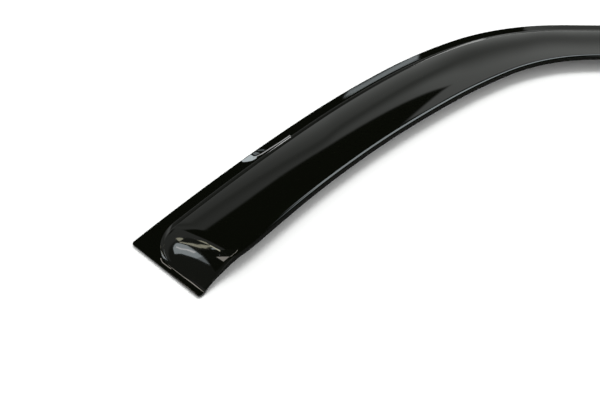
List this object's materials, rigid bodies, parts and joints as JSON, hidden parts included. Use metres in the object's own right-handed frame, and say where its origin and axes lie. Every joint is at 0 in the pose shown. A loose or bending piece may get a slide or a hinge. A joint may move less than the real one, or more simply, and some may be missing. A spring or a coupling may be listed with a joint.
{
  "type": "window rain deflector",
  "caption": "Smoked acrylic rain deflector for a car door window: a curved band with a bonding flange, a convex crown, a turned-down lip and ramped ends.",
  "frame": {"origin": "middle of the outline in plan, on the plane that the release liners rest on", "axes": "+X runs along the roof line towards the rear of the car, +Y up the door, +Z outward from the glass; the outer face is up"},
  "size_m": [0.8194, 0.407, 0.0226],
  "materials": {
    "smoked_acrylic": "polished, near-black smoked",
    "foam_tape": "matte closed-cell foam",
    "release_liner": "thin satin film"
  },
  "bodies": {
    "root": {"visor": "smoked_acrylic", "tape_pillar": "foam_tape", "tape_bend": "foam_tape", "tape_roof": "foam_tape", "tape_front": "foam_tape", "tape_rear": "foam_tape", "liner_pillar": "release_liner", "liner_bend": "release_liner", "liner_roof": "release_liner", "liner_front": "release_liner", "liner_rear": "release_liner"}
  },
  "joints": []
}
